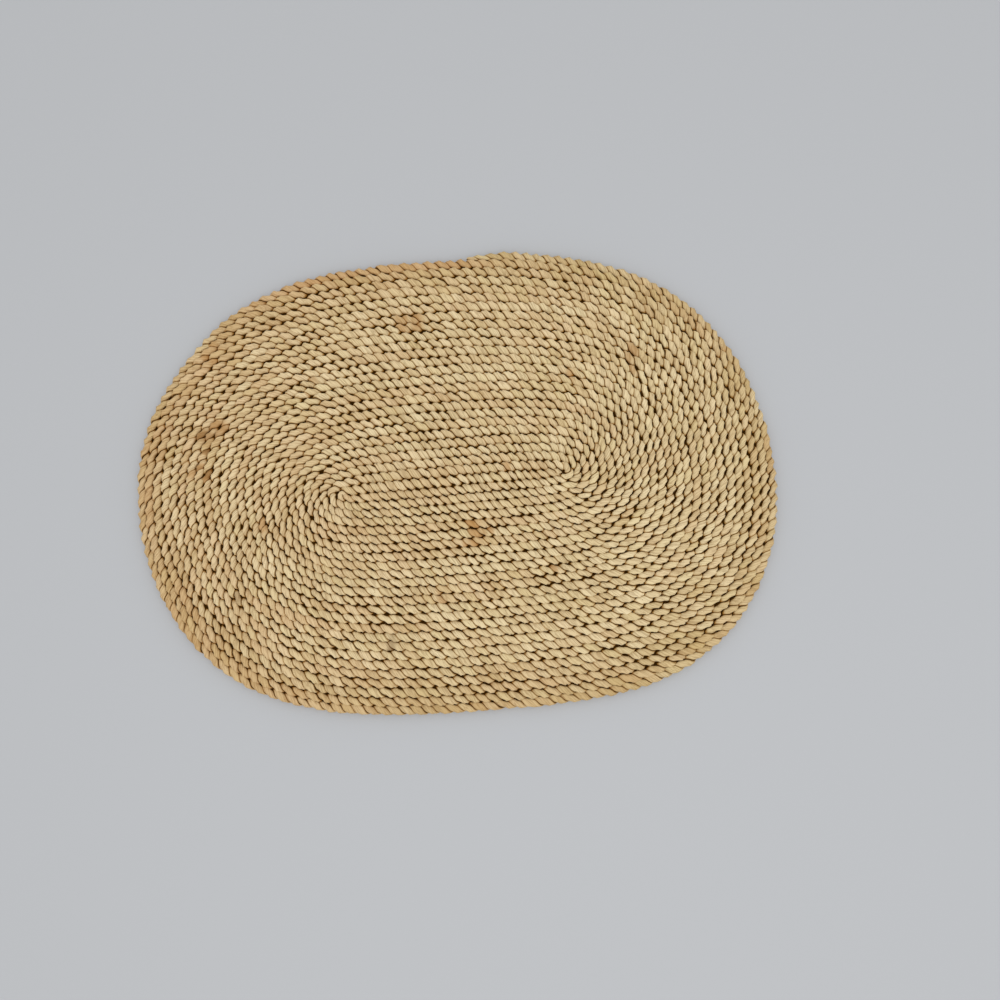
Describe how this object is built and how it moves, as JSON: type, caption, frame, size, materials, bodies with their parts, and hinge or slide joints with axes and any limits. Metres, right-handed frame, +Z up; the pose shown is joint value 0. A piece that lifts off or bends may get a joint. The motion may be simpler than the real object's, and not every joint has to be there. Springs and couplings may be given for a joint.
{
  "type": "seagrass placemat",
  "caption": "Flat oval placemat of twisted seagrass cord, coiled from a short straight core and sewn turn to turn, with a rounded cord edge.",
  "frame": {"origin": "on the surface that the mat rests on, under the middle of its box", "axes": "+X along the mat's length, +Y away from the diner, +Z up out of the upper face"},
  "size_m": [0.4566, 0.3332, 0.0068],
  "materials": {
    "seagrass_cord": "matt dried leaf, twisted"
  },
  "bodies": {
    "root": {"coiled_mat": "seagrass_cord"}
  },
  "joints": []
}
